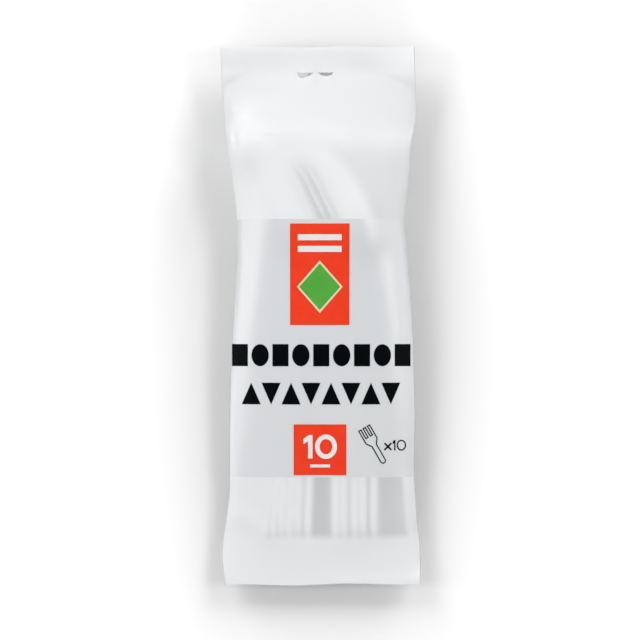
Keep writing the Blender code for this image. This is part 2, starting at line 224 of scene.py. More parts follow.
# Print: boxes between two pixels of the photograph, left, top, right and bottom
BAND_TOP_PIXEL = 220
BAND_BOTTOM_PIXEL = 477
RED_PANEL = (290.3, 224.5, 349.2, 325)
PANEL_BARS = ((298, 235, 341.5, 241), (298, 246.5, 341.5, 252.5))
PANEL_DIAMOND = (297, 261, 342.5, 313)
PANEL_DIAMOND_INSIDE = (299.5, 264, 340, 310)
UPPER_ROW = (231.5, 344, 411, 366)
UPPER_ROW_GAP = 3.0
LOWER_ROW = (242, 382.5, 400, 404)
LOWER_ROW_GAP = 1.0
RED_SQUARE = (293.7, 424, 346.2, 474.7)
COUNT_ONE = (303.5, 434.5, 312.5, 458)
COUNT_ZERO = (315, 434, 337, 458.5)
COUNT_WEIGHT = 0.19
COUNT_BAR = (310, 464, 330, 467)
TIMES_SIGN = (384, 442.5, 391.5, 450)
TIMES_ONE = (392.5, 439.8, 395.3, 450.2)
TIMES_ZERO = (396.5, 439.5, 406, 450.5)
TIMES_SIGN_WEIGHT = 0.17
TIMES_ZERO_WEIGHT = 0.12
FORK_SIGN_PIXEL = (374, 445)
FORK_SIGN_LENGTH = 40
FORK_SIGN_LEAN = 30
FORK_SIGN_LINE = 1.1
INK_LIFT = 0.00008
PRINT_CELL = 0.001

# Stage: the floor's half width, its grey and white, and the glow outside the shadow's reach,
# which starts and is full at these shares of that reach
FLOOR_HALF = 1.0
FLOOR_GREY = 0.15
FLOOR_WHITE = 1.0
SKY_GREY = 0.11
FAR_GLOW = 0.14
SHADOW_REACH = (0.056, 0.125)
GLOW_START = 0.85
GLOW_FULL = 1.60
CAMERA_DISTANCE = 1.2
FOCUS_HEIGHT = 0.010

# Lamps round the pack: the direction from it in degrees, the height over the floor in degrees,
# the width in metres and the power in watts
LAMP_DISTANCE = 1.2
LAMPS = (
    ("upper_left_lamp", 130, 30, 0.70, 6.6),
    ("upper_right_lamp", 50, 29, 0.70, 7.1),
    ("lower_lamp", 265, 14, 0.80, 6.8),
    ("right_lamp", 0, 45, 0.35, 2.0),
    ("right_low_lamp", 0, 18, 0.60, 2.1),
    ("left_lamp", 180, 38, 0.50, 2.6),
    ("left_low_lamp", 190, 16, 0.60, 2.7),
)


def at_pixel(x, y):
    """Where a pixel of the photograph lies on the pack, in metres."""
    return (
        (x - ORIGIN_PIXEL[0]) * MM_PER_PIXEL * MM,
        (ORIGIN_PIXEL[1] - y) * MM_PER_PIXEL * MM,
    )


BAND_TOP = at_pixel(0, BAND_TOP_PIXEL)[1]
BAND_BOTTOM = at_pixel(0, BAND_BOTTOM_PIXEL)[1]

root = bpy.context.scene.collection


def add_object(name, mesh, material=None):
    item = bpy.data.objects.new(name, mesh)
    root.objects.link(item)
    if material:
        mesh.materials.append(material)
    return item


# Materials


def new_material(name):
    material = bpy.data.materials.new(name)
    material.use_nodes = True
    return material, material.node_tree.nodes, material.node_tree.links


def noise_node(nodes, links, scale, detail=4.0, stretch=(1.0, 1.0, 1.0)):
    """Noise laid out in the pack's own metres."""
    place = nodes.new("ShaderNodeTexCoord")
    mapping = nodes.new("ShaderNodeMapping")
    mapping.inputs["Scale"].default_value = stretch
    noise = nodes.new("ShaderNodeTexNoise")
    noise.inputs["Scale"].default_value = scale
    noise.inputs["Detail"].default_value = detail
    links.new(place.outputs["Object"], mapping.inputs["Vector"])
    links.new(mapping.outputs["Vector"], noise.inputs["Vector"])
    return noise.outputs["Fac"]


def spread(nodes, links, value, low, high):
    """The noise's middle range mapped to low and high."""
    ranged = nodes.new("ShaderNodeMapRange")
    ranged.inputs["From Min"].default_value = 0.3
    ranged.inputs["From Max"].default_value = 0.7
    ranged.inputs["To Min"].default_value = low
    ranged.inputs["To Max"].default_value = high
    links.new(value, ranged.inputs["Value"])
    return ranged.outputs["Result"]


def two_tones(nodes, links, value, dark, light):
    ramp = nodes.new("ShaderNodeValToRGB")
    ramp.color_ramp.elements[0].position = 0.3
    ramp.color_ramp.elements[1].position = 0.7
    ramp.color_ramp.elements[0].color = (*dark, 1.0)
    ramp.color_ramp.elements[1].color = (*light, 1.0)
    links.new(value, ramp.inputs["Fac"])
    return ramp.outputs["Color"]


def add_bump(nodes, links, shader, height, strength, distance):
    bump = nodes.new("ShaderNodeBump")
    bump.inputs["Strength"].default_value = strength
    bump.inputs["Distance"].default_value = distance
    links.new(height, bump.inputs["Height"])
    links.new(bump.outputs["Normal"], shader.inputs["Normal"])


def surface(name, tones, tone_scale, rough, rough_scale, bump, bump_scale,
            stretch=(1.0, 1.0, 1.0)):
    """Two close tones, an uneven gloss and a fine relief.

    rough holds the lowest and highest roughness, and bump the relief's strength and height.
    """
    material, nodes, links = new_material(name)
    shader = nodes["Principled BSDF"]
    tone = noise_node(nodes, links, tone_scale, 2.0)
    links.new(two_tones(nodes, links, tone, *tones), shader.inputs["Base Color"])
    gloss = noise_node(nodes, links, rough_scale, 3.0)
    links.new(spread(nodes, links, gloss, *rough), shader.inputs["Roughness"])
    relief = noise_node(nodes, links, bump_scale, 4.0, stretch)
    add_bump(nodes, links, shader, relief, *bump)
    shader.inputs["IOR"].default_value = 1.5
    return material


def clear_film():
    """Hazy film; the haze of each place, partly painted sheen toward the upper left, is held in the
    mesh.
    """
    material = surface(
        "clear_film", FILM_TONES, tone_scale=12.0, rough=(0.36, 0.44), rough_scale=90.0,
        bump=(0.20, 0.0004), bump_scale=160.0, stretch=(1.0, 0.35, 1.0)
    )
    nodes, links = material.node_tree.nodes, material.node_tree.links
    nodes["Principled BSDF"].inputs["Specular IOR Level"].default_value = FILM_SHINE
    haze_and_sheen = nodes.new("ShaderNodeAttribute")
    haze_and_sheen.attribute_name = "haze_and_sheen"
    ranged = nodes.new("ShaderNodeMapRange")
    ranged.inputs["To Min"].default_value = CLEAREST_ALPHA
    ranged.inputs["To Max"].default_value = HAZIEST_ALPHA
    links.new(haze_and_sheen.outputs["Fac"], ranged.inputs["Value"])
    links.new(ranged.outputs["Result"], nodes["Principled BSDF"].inputs["Alpha"])
    return material


def fork_plastic():
    material = surface(
        "fork_plastic", FORK_TONES, tone_scale=45.0, rough=(0.30, 0.38), rough_scale=150.0,
        bump=(0.06, 0.0002), bump_scale=900.0
    )
    shader = material.node_tree.nodes["Principled BSDF"]
    shader.inputs["Subsurface Weight"].default_value = 0.4
    shader.inputs["Subsurface Radius"].default_value = (1.0, 0.95, 0.9)
    shader.inputs["Subsurface Scale"].default_value = 0.002
    return material


def glossed(material):
    """Gives a printed surface the film's clear gloss over it."""
    shader = material.node_tree.nodes["Principled BSDF"]
    shader.inputs["Coat Weight"].default_value = COAT_WEIGHT
    shader.inputs["Coat Roughness"].default_value = COAT_ROUGHNESS
    return material


def white_print():
    return glossed(surface(
        "white_print", BAND_TONES, tone_scale=12.0, rough=(0.31, 0.37), rough_scale=120.0,
        bump=(0.14, 0.0004), bump_scale=170.0, stretch=(1.0, 0.35, 1.0)
    ))


def ink(name, tones, shine=INK_SHINE):
    material = surface(
        name, tones, tone_scale=180.0, rough=(0.34, 0.44), rough_scale=200.0,
        bump=(0.08, 0.0002), bump_scale=700.0
    )
    material.node_tree.nodes["Principled BSDF"].inputs["Specular IOR Level"].default_value = shine
    return material


# Forks


def smooth_value(position, stops):
    """A value that eases from stop to stop; each stop is (position, value)."""
    if position <= stops[0][0]:
        return stops[0][1]
    for (start, low), (end, high) in zip(stops, stops[1:]):
        if position <= end:
            share = (position - start) / (end - start)
            return low + (high - low) * share * share * (3 - 2 * share)
    return stops[-1][1]


def straight_value(position, stops):
    return float(np.interp(position, [s[0] for s in stops], [s[1] for s in stops]))


TINE_ROOT = FORK_LENGTH - TINE_LENGTH
SHOULDER = TINE_ROOT - BOWL_LENGTH
NECK_START = SHOULDER - NECK_LENGTH
NECK_ARC = NECK_RADIUS * NECK_TURN
HEAD_RADIUS = (BEND_FROM_TIP - NECK_ARC) / HEAD_TURN
STRAIGHT_RUN = FORK_LENGTH - BEND_FROM_TIP


def profile(along):
    """The fork's centre line seen from the side: x, y and the angle it has turned."""
    if along <= STRAIGHT_RUN:
        return 0.0, along, 0.0
    turned = min((along - STRAIGHT_RUN) / NECK_RADIUS, NECK_TURN)
    x = NECK_RADIUS * (math.cos(turned) - 1)
    y = STRAIGHT_RUN + NECK_RADIUS * math.sin(turned)
    rest = along - STRAIGHT_RUN - NECK_ARC
    if rest > 0:
        turned = NECK_TURN + rest / HEAD_RADIUS
        x += HEAD_RADIUS * (math.cos(turned) - math.cos(NECK_TURN))
        y += HEAD_RADIUS * (math.sin(turned) - math.sin(NECK_TURN))
    return x, y, turned


FORK_TILT = math.asin((HEAD_WIDTH - HANDLE_WIDTH) / 2 / (profile(TINE_ROOT)[1] - HANDLE_END_ROUND))


# The rim's depth along the fork, as a share of the handle's, so that the stack still nests
RIM_STOPS = (
    (NECK_START, 1.0), (TINE_ROOT, 0.56), (FORK_LENGTH - 2 * TINE_POINT_LENGTH, 0.36),
    (FORK_LENGTH, 0.10),
)


def fork_half_width(along):
    if along < HANDLE_END_ROUND:
        share = 1 - along / HANDLE_END_ROUND
        return HANDLE_WIDTH / 2 * math.sqrt(1 - END_NARROWING * share * share)
    widths = (
        (HANDLE_END_ROUND, HANDLE_WIDTH / 2),
        (NECK_START, NECK_WIDTH / 2),
        (SHOULDER - NECK_LENGTH / 4, NECK_WIDTH / 2),
        (TINE_ROOT - BOWL_LENGTH / 4, HEAD_WIDTH / 2),
        (TINE_ROOT, HEAD_WIDTH / 2),
        (FORK_LENGTH, TIP_SPREAD_WIDTH / 2),
    )
    return smooth_value(along, widths)


def tine_edges(along):
    tapers = (
        (TINE_ROOT, TINE_WIDTH),
        (FORK_LENGTH - TINE_POINT_LENGTH, TINE_END_WIDTH),
        (FORK_LENGTH, TINE_POINT_WIDTH),
    )
    width = straight_value(along, tapers)
    outer_centre = fork_half_width(along) - straight_value(along, tapers[:2]) / 2
    edges = []
    for index in range(TINE_COUNT):
        centre = outer_centre * (2 * index / (TINE_COUNT - 1) - 1)
        edges += [centre - width / 2, centre + width / 2]
    return edges


def fork_row(along):
    """One row of points across the fork, on its outer face."""
    half_width = fork_half_width(along)
    corner = half_width * HANDLE_CORNER
    inner = 2 * TINE_COUNT - 3
    handle = [-half_width] + [corner * (2 * i / inner - 1) for i in range(inner + 1)]
    handle.append(half_width)
    head_share = smooth_value(along, ((NECK_START, 0.0), (TINE_ROOT, 1.0)))
    rim_share = smooth_value(along, RIM_STOPS)
    end_share = smooth_value(along, ((0.0, END_RIM_SHARE), (HANDLE_END_ROUND, 1.0)))
    dish_stops = ((SHOULDER - NECK_LENGTH / 2, 0.0), (TINE_ROOT, 1.0), (FORK_LENGTH, DISH_AT_TIPS))
    dish = smooth_value(along, dish_stops)
    x, y, turned = profile(along)
    row = []
    for index, (on_handle, on_head) in enumerate(zip(handle, tine_edges(along))):
        across = on_handle + (on_head - on_handle) * head_share
        depth = DISH_DEPTH * dish * (across / half_width) ** 2
        if index in (0, len(handle) - 1):
            depth += HANDLE_DEPTH * rim_share * end_share
        row.append((x - depth * math.cos(turned), y - depth * math.sin(turned), across))
    return row


def even_steps(start, end, count):
    """Places from start to just before end."""
    return [start + (end - start) * step / count for step in range(count)]


def fork_mesh():
    """The fork's outer face as an open sheet, with gaps between the tines."""
    point_start = FORK_LENGTH - TINE_POINT_LENGTH
    before = [HANDLE_END_ROUND * share for share in END_ROUND_STEPS]
    before += even_steps(HANDLE_END_ROUND, NECK_START, 8)
    before += even_steps(NECK_START, SHOULDER, 6)
    before += even_steps(SHOULDER, TINE_ROOT, 8)
    stations = before + even_steps(TINE_ROOT, point_start, 9)
    stations += even_steps(point_start, FORK_LENGTH, 2) + [FORK_LENGTH]
    sheet = bmesh.new()
    rows = [[sheet.verts.new(point) for point in fork_row(place)] for place in stations]
    for number, (low, high) in enumerate(zip(rows, rows[1:])):
        for column in range(len(low) - 1):
            if number >= len(before) and column % 2 == 1:
                continue
            sheet.faces.new((low[column], high[column], high[column + 1], low[column + 1]))
    loose = [vert for vert in sheet.verts if not vert.link_faces]
    bmesh.ops.delete(sheet, geom=loose, context="VERTS")
    sheet.normal_update()
    if sum(face.normal.x for face in sheet.faces) < 0:
        bmesh.ops.reverse_faces(sheet, faces=sheet.faces)
    mesh = bpy.data.meshes.new("fork")
    sheet.to_mesh(mesh)
    sheet.free()
    mesh.shade_smooth()
    return mesh


def fork_place(node, lean):
    """The CAD fork's place, read from its own points."""
    low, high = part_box(node)
    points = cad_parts[node].data.vertices
    near_end = [p.co.x for p in points if p.co.y < low.y + HANDLE_END_ROUND]
    pivot = Vector((max(near_end), low.y + HANDLE_END_ROUND, low.z + HANDLE_WIDTH / 2))
    turn = Matrix.Rotation(-lean, 4, "Z") @ Matrix.Rotation(FORK_TILT, 4, "X")
    settle = Matrix.Translation((0.0, -HANDLE_END_ROUND, 0.0))
    return Matrix.Translation(pivot) @ turn @ settle


def finished_mesh(item):
    """The object's mesh with its modifiers applied and its place in the points."""
    bpy.context.view_layer.update()
    graph = bpy.context.evaluated_depsgraph_get()
    mesh = bpy.data.meshes.new_from_object(item.evaluated_get(graph))
    mesh.transform(item.matrix_world)
    return mesh


def add_fork(node, side, mesh, material):
    blank = add_object(f"{node}_blank", mesh)
    blank.matrix_world = fork_place(node, STACK_LEAN[side])
    shell = blank.modifiers.new("plastic", "SOLIDIFY")
    shell.thickness = PLASTIC_THICKNESS
    shell.offset = -1.0
    shell.use_even_offset = True
    rounding = blank.modifiers.new("rounding", "BEVEL")
    rounding.width = FORK_EDGE_ROUND
    rounding.segments = 2
    rounding.limit_method = "ANGLE"
    rounding.angle_limit = math.radians(40)
    finer = blank.modifiers.new("finer", "SUBSURF")
    finer.levels = 1
    finer.render_levels = 1
    fork = add_object(f"{node}_moulded", finished_mesh(blank), material)
    fork.data.shade_smooth()
    bpy.data.objects.remove(blank)
    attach(fork, "root")
    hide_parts(node)
    return fork


def add_forks():
    mesh = fork_mesh()
    material = fork_plastic()
    forks = []
    for side in ("left", "right"):
        for number in range(1, FORKS_IN_A_STACK + 1):
            forks.append(add_fork(f"{side}_fork_{number}", side, mesh, material))
    return forks


# Film pouch: places along the pack, worked out from the CAD pouch and forks
POUCH_LOW, POUCH_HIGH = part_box("film_pouch")
FORK_BOXES = [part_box(name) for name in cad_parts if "fork" in name]
HANDLE_END = min(low.y for low, high in FORK_BOXES)
TIP_END = max(high.y for low, high in FORK_BOXES)
HEAD_TOP = max(high.z for low, high in FORK_BOXES)
HANDLE_TOP = FORK_BOXES[0][0].z + HANDLE_WIDTH
SHOULDER_Y = HANDLE_END + profile(SHOULDER)[1]
HEM_EDGE = HANDLE_END - HEM_SLOPE_LENGTH
HEADER_EDGE = POUCH_HIGH.y - HEADER_SEAL_LENGTH

# Outline of the pouch in millimetres: y and x, from the hem to the header
LEFT_OUTLINE = (
    (-106.7, -38.4), (-100.7, -39.3), (-95.5, -39.8), (-88.7, -39.2), (-83.5, -38.3),
    (-70.3, -36.5), (-52, -36.7), (-27, -36.3), (-2.3, -35.1), (22, -33.4), (41, -33.6),
    (58, -35.6), (70, -37.7), (79, -38.6), (92, -39.5), (106.5, -39.9),
)
RIGHT_OUTLINE = (
    (-104.7, 39.9), (-100.7, 40.2), (-90.3, 39.9), (-85.5, 38.9), (-76.3, 38.3), (-64, 37.4),
    (-40, 37.9), (-20.7, 37.4), (-5.5, 36.9), (9.7, 35.9), (28, 34.3), (37.3, 33.4),
    (45.3, 33.7), (54.5, 35.2), (68, 36.0), (74, 37.3), (81.3, 38.5), (92, 37.8), (104, 37.4),
)

XS = np.arange(-GRID_HALF_WIDTH, GRID_HALF_WIDTH + CELL / 2, CELL)
YS = np.arange(POUCH_LOW.y, POUCH_HIGH.y + CELL / 2, CELL)
X, Y = np.meshgrid(XS, YS, indexing="ij")


def blur(values, across, along):
    """Gaussian blur of a grid; the two widths are in metres."""
    out = values
    for axis, width in ((0, across), (1, along)):
        sigma = width / CELL
        if sigma < 0.3:
            continue
        reach = int(3 * sigma) + 1
        kernel = np.exp(-0.5 * (np.arange(-reach, reach + 1) / sigma) ** 2)
        kernel /= kernel.sum()
        pad = [(0, 0), (0, 0)]
        pad[axis] = (reach, reach)
        padded = np.pad(out, pad, mode="edge")
        out = np.apply_along_axis(lambda line: np.convolve(line, kernel, "valid"), axis, padded)
    return out


def smooth_line(points, width):
    """The outline's x at every YS, rounded off."""
    ys = np.array([p[0] for p in points]) * MM
    xs = np.array([p[1] for p in points]) * MM
    line = np.interp(YS, ys, xs)
    return blur(line[None, :], 0.0, width)[0]


LEFT_EDGE = smooth_line(LEFT_OUTLINE, OUTLINE_BLUR)
RIGHT_EDGE = smooth_line(RIGHT_OUTLINE, OUTLINE_BLUR)


def ease(values, start, end):
    """Rises smoothly from 0 at the start to 1 at the end."""
    share = np.clip((values - start) / (end - start), 0.0, 1.0)
    return share * share * (3 - 2 * share)


def mix(low, high, share):
    return low + (high - low) * share


def hump(offset, width):
    """A bell of unit height."""
    return np.exp(-((offset / width) ** 2))


def back_height():
    """The height of the film's back along the pack: on the floor, and lifted at both seals."""
    hem = 1 - ease(YS, HEM_EDGE, HANDLE_END - 0.0003)
    header = ease(YS, TIP_END + 0.001, HEADER_EDGE)
    return BACK_LEVEL + HEM_RISE * hem + HEADER_RISE * header


def ridge_height():
    """The height of the film's ridge line along the pack."""
    ends = np.array([HANDLE_END, SHOULDER_Y + 0.008, TIP_END])
    tops = np.array([HANDLE_TOP, HEAD_TOP, HEAD_TOP]) + FILM_GAP
    line = np.interp(YS, ends, tops)
    hem = ease(YS, HEM_EDGE, HANDLE_END - 0.0005) ** 0.8
    header = 1 - ease(YS, TIP_END - 0.006, HEADER_EDGE + 0.004)
    seal = BACK_LINE + SEAL_THICKNESS
    return seal + (line - seal) * hem * header


BACK_LINE = back_height()
RIDGE = ridge_height()
FOLD_LEVEL = BACK_LINE + FOLD_HEIGHT_SHARE * (RIDGE - BACK_LINE)


def fork_levels(forks):
    """The forks' highest and lowest points over every cell; -1 where there is no fork."""
    points, faces = [], []
    for fork in forks:
        start = len(points)
        points += [v.co.copy() for v in fork.data.vertices]
        faces += [[start + i for i in face.vertices] for face in fork.data.polygons]
    tree = BVHTree.FromPolygons(points, faces)
    tops = np.full(X.shape, -1.0)
    bottoms = np.full(X.shape, -1.0)
    down = Vector((0.0, 0.0, -1.0))
    for i, x in enumerate(XS):
        for j, y in enumerate(YS):
            hit = tree.ray_cast(Vector((x, y, 0.1)), down)[0]
            if hit is not None:
                tops[i, j] = hit.z
                bottoms[i, j] = tree.ray_cast(Vector((x, y, -0.1)), -down)[0].z
    return tops, bottoms


def pull_tight(start, obstacle, fixed, sweeps):
    """A stretched skin over the obstacle, held where it is fixed."""
    level = start.copy()
    rows, columns = np.indices(level[1:-1, 1:-1].shape)
    free = ~fixed[1:-1, 1:-1]
    halves = [free & ((rows + columns) % 2 == parity) for parity in (0, 1)]
    for _ in range(sweeps):
        for half in halves:
            middle = level[1:-1, 1:-1]
            mean = (level[:-2, 1:-1] + level[2:, 1:-1] + level[1:-1, :-2] + level[1:-1, 2:]) / 4
            moved = np.maximum(middle + TIGHTENING_STEP * (mean - middle), obstacle[1:-1, 1:-1])
            level[1:-1, 1:-1] = np.where(half, moved, middle)
    return level


def soft_noise(seed, across, along):
    """Random relief of unit height, as wide as the two lengths say."""
    values = np.random.default_rng(seed).standard_normal(X.shape)
    values = blur(values, across, along)
    return values / values.std()


def crease(start, end, width):
    """A ridge of unit height along a straight run between two pixels of the photograph."""
    x0, y0 = at_pixel(*start)
    x1, y1 = at_pixel(*end)
    dx, dy = x1 - x0, y1 - y0
    length = math.hypot(dx, dy)
    along = ((X - x0) * dx + (Y - y0) * dy) / length
    off = ((X - x0) * dy - (Y - y0) * dx) / length
    taper = ease(along, 0.0, length * 0.35) * (1 - ease(along, length * 0.65, length))
    return taper * hump(off, width * MM)


def ripples(height, seed, across, along):
    return height * soft_noise(seed, across, along)


def film_relief():
    """Folds and ripples of the loose film, in metres."""
    inside = ease(Y, HEM_EDGE - 0.002, HANDLE_END + 0.004) * (1 - ease(Y, TIP_END, HEADER_EDGE))
    band = ease(Y, BAND_BOTTOM - 0.004, BAND_BOTTOM + 0.006)
    band = band * (1 - ease(Y, BAND_TOP - 0.006, BAND_TOP + 0.004))
    relief = ripples(*BROAD_RIPPLES) * inside
    relief += ripples(*FINE_RIPPLES) * inside * mix(1.0, RIPPLES_UNDER_INK, band)
    seals = hump(Y - HEM_EDGE, GATHERS_AT_HEM) + hump(Y - HEADER_EDGE, GATHERS_AT_HEADER)
    relief += ripples(*GATHERS) * seals
    for start, end, width, height in CREASES:
        relief += height * crease(start, end, width)
    return relief


def widened(values, reach):
    """Each cell takes the highest value within reach."""
    steps = int(round(reach / CELL))
    out = values.copy()
    for i in range(-steps, steps + 1):
        for j in range(-steps, steps + 1):
            if i * i + j * j <= steps * steps:
                out = np.maximum(out, np.roll(values, (i, j), (0, 1)))
    return out


def draped(values, size):
    """The values as a soft cloth would lie over them."""
    reach, across, along = size
    return blur(widened(values, reach), across, along)


def clear_streak():
    """The slanting strip of clearer film between the shadow lines over the right stack's heads."""
    x, y = at_pixel(*CLEAR_STREAK_PIXEL)
    strip = hump(X - x + CLEAR_STREAK_LEAN * (Y - y), CLEAR_STREAK_WIDTH)
    start, end = CLEAR_STREAK_FADE
    return strip * (1 - ease(Y, y + start, y + end))


def film_haze_and_sheen(tops):
    """How milky the film looks from above, from 0 to 1; toward the upper left it is partly painted
    sheen.
    """
    covered = blur(np.where(tops > 0, 1.0, 0.0), *FORK_HAZE_BLUR)
    upper = UPPER_HAZE + UPPER_FORK_HAZE * covered
    # Toward the upper left the film turns nearly opaque white: partly haze over the left stack's
    # tips, partly painted sheen of the light from the left.
    upper = np.maximum(upper, 1 - ease(X, *LEFT_HAZE_AND_SHEEN)) + CLEAR_STREAK_HAZE * clear_streak()
    left_side = 1 - ease(X - LEFT_EDGE, *LEFT_SIDE_WIDTH)
    right_side = 1 - ease(RIGHT_EDGE - X, *RIGHT_SIDE_WIDTH)
    lower = LOWER_HAZE + LOWER_FORK_HAZE * covered
    lower = np.maximum(lower, SIDE_HAZE * np.maximum(left_side, right_side))
    ends = ease(Y, TIP_END - 0.010, TIP_END + 0.001)
    ends = np.maximum(ends, ease(-Y, -HANDLE_END - 0.005, -HANDLE_END - 0.001))
    return mix(mix(lower, upper, ease(Y, 0.0, BAND_TOP - 0.004)), END_HAZE, ends)


def drape(tops):
    """A sheet laid over the forks: close over the handles, and loose from the band upward."""
    solid = np.where(tops > 0, tops, 0.0)
    loose_share = ease(Y, BAND_BOTTOM, BAND_BOTTOM + 0.010)
    return mix(draped(solid, CLOSE_DRAPE), draped(solid, LOOSE_DRAPE), loose_share) + FILM_GAP


def pillow(fold, share):
    """The crowned form of a filled tube, which goes flat toward both seals."""
    level = fold + (PILLOW_HEIGHT_SHARE * RIDGE - fold).clip(0) * (1 - share**2.6) ** 0.6
    level = mix(level, fold, ease(Y, TIP_END - FLAT_BEFORE_TIPS, TIP_END + FLAT_PAST_TIPS))
    return mix(level, fold, ease(-Y, -HANDLE_END - FLAT_AT_HANDLES, -HANDLE_END))


def slacken(front, inside):
    """Rounds off the front where the film is loose, and round the right stack's shoulder."""
    slack = ease(Y, BAND_BOTTOM, BAND_BOTTOM + LOOSE_SETS_IN)
    slack = np.maximum(slack, ease(-Y, 0.001 - HANDLE_END, 0.006 - HANDLE_END))
    front = mix(front, blur(front, *LOOSE_BLUR), slack * inside)
    x, y = at_pixel(*RIGHT_SHOULDER_PIXEL)
    near = hump(X - x, RIGHT_SHOULDER_SIZE[0]) * hump(Y - y, RIGHT_SHOULDER_SIZE[1])
    return mix(front, blur(front, *RIGHT_SHOULDER_BLUR), near * inside)


def lift_clear(front, touching):
    """Raises the front smoothly wherever it would cut into a fork."""
    short = np.maximum(touching - front, 0.0)
    return front + CLEARING_SHARE * draped(short, CLEARING_DRAPE)


def run_to_header(front, seal, inside):
    """Draws the front in straight lines from the tine tips to the header's seal."""
    over_tips = blur(front, TIPS_BLUR, 0.0)[:, [int((TIP_END - YS[0]) / CELL)]]
    way = np.clip((Y - TIP_END) / (HEADER_EDGE - TIP_END), 0.0, 1.0)
    missing = np.maximum(mix(over_tips, seal, way) - front, 0.0)
    front = front + np.where(way > 0, missing, 0.0) * inside
    past_tips = ease(Y, TIP_END + 0.001, TIP_END + 0.010)
    return mix(front, blur(front, *PAST_TIPS_BLUR), past_tips * inside)


def film_back(fold, share, tops, bottoms):
    """The back: flat below, curved up to the side folds, and below every fork."""
    back = mix(BACK_LINE, fold, ease(share, SIDE_CURVE_START, 1.0) ** SIDE_CURVE_POWER)
    depth = np.where(tops > 0, HEAD_TOP - bottoms + FILM_GAP, 0.0)
    below = HEAD_TOP - draped(depth, UNDER_DRAPE)
    return np.minimum(back, np.maximum(below, BACK_LEVEL))


def end_curl(share):
    """How the hem and the header curl up at their cut edges."""
    ends = CURL_SHARE["hem"] * ease(-Y, CURL_START["hem"], CUT_EDGE)
    ends = ends + CURL_SHARE["header"] * ease(Y, CURL_START["header"], CUT_EDGE)
    bulge = BULGE_HEIGHT * hump(X - BULGE_X, BULGE_WIDTH)
    bulge = bulge * ease(Y, CURL_START["header"], BULGE_END)
    return (CURL_HEIGHT * share**2 + ripples(*END_WAVES)) * ends + bulge


def film_levels(tops, bottoms):
    """Heights of the film's front and back over the grid."""
    touching = np.where(tops > 0, tops + FILM_GAP, -1.0)
    half = (RIGHT_EDGE - LEFT_EDGE) / 2
    middle = (RIGHT_EDGE + LEFT_EDGE) / 2
    share = np.clip(np.abs(X - middle) / half, 0.0, 1.0)
    fold = np.broadcast_to(FOLD_LEVEL, X.shape)
    seal = np.broadcast_to(BACK_LINE + SEAL_THICKNESS, X.shape)
    outside = (X <= LEFT_EDGE) | (X >= RIGHT_EDGE)
    seal_edge = HEADER_EDGE + HEADER_SEAL_SET_BACK - HEADER_SEAL_BOW * share**2
    sealed = (Y < HEM_EDGE) | (Y > seal_edge)
    held = outside | sealed
    least = np.maximum(np.maximum(pillow(fold, share), drape(tops)), touching)
    least = np.where(outside, fold, least)
    least = np.where(sealed, seal, least)
    front = pull_tight(least, np.where(held, -1.0, least), held, TIGHTENING_SWEEPS)
    inside = ease(np.minimum(X - LEFT_EDGE, RIGHT_EDGE - X), 0.0, EDGE_MARGIN)
    front = front + film_relief() * inside
    for widths in SETTLING_BLURS:
        front = np.maximum(blur(front, *widths), touching)
    front = blur(front, *LAST_BLUR)
    front = slacken(front, inside)
    front = lift_clear(front, touching)
    front = run_to_header(front, seal, inside)
    back = film_back(fold, share, tops, bottoms)
    curl = end_curl(share)
    return np.maximum(front, back + SEAL_THICKNESS) + curl, back + curl


def sample(grid, x, y):
    """The grid's value at any place, straight between its cells."""
    u = np.clip((np.asarray(x) - XS[0]) / CELL, 0, len(XS) - 1.001)
    v = np.clip((np.asarray(y) - YS[0]) / CELL, 0, len(YS) - 1.001)
    i, j = u.astype(int), v.astype(int)
    a, b = u - i, v - j
    low = grid[i, j] * (1 - a) + grid[i + 1, j] * a
    high = grid[i, j + 1] * (1 - a) + grid[i + 1, j + 1] * a
    return low * (1 - b) + high * b


def cut_line(x, cut):
    """How far a cut edge wanders along the pack at x."""
    height, turns, slant, offset, _ = cut
    return height * np.sin(x * turns) + slant * x + offset


def end_shift(x, y):
    """The gentle waves of the cut edges at the hem and the header."""
    hem = cut_line(x, HEM_CUT) * ease(-y, HEM_CUT[-1], CUT_EDGE)
    return hem + cut_line(x, HEADER_CUT) * ease(y, HEADER_CUT[-1], CUT_EDGE)


SLIT_Y = at_pixel(*SLIT_PIXEL)[1]


def slit_opening(x):
    """How far the hang slit gapes: a wide gap on the left, a narrower one on the right."""
    return np.interp(x, np.array(SLIT_PLACES_MM) * MM, np.array(SLIT_GAPS_MM) * MM)


def open_slit(ring, place):
    """Draws the film below the slit down by the gap, and lifts its loose tongue."""
    near = max(0.0, 1 - (SLIT_Y - place) / SLIT_FADE)
    moved = ring.copy()
    moved[:, 1] -= slit_opening(ring[:, 0]) * near
    moved[:, 2] += TONGUE_RISE * hump(ring[:, 0] - TONGUE_X, TONGUE_WIDTH) * near**2
    return moved


def film_ring(y, front, back):
    """A ring of points round the tube: across the front, then back underneath."""
    left = float(np.interp(y, YS, LEFT_EDGE))
    right = float(np.interp(y, YS, RIGHT_EDGE))
    fine = np.linspace(left, right, 400)
    level = sample(front, fine, np.full(400, y))
    level[0] = (level[0] + float(sample(back, left, y))) / 2
    level[-1] = (level[-1] + float(sample(back, right, y))) / 2
    run = np.concatenate([[0.0], np.cumsum(np.hypot(np.diff(fine), np.diff(level)))])
    even = np.linspace(0.0, run[-1], FRONT_STEPS + 1)
    back_x = np.linspace(right, left, BACK_STEPS + 1)[1:-1]
    back_z = sample(back, back_x, np.full(BACK_STEPS - 1, y))
    ring_x = np.concatenate([np.interp(even, run, fine), back_x])
    ring_z = np.concatenate([np.interp(even, run, level), back_z])
    ring_y = y + end_shift(ring_x, np.full(len(ring_x), y))
    return np.stack([ring_x, ring_y, ring_z], axis=1)


def film_rings(start, end, front, back):
    """The rings from start to end, both with a ring of their own."""
    places = np.linspace(start, end, int(round((end - start) / ROW_STEP)) + 1)
    return [(y, film_ring(y, front, back)) for y in places]


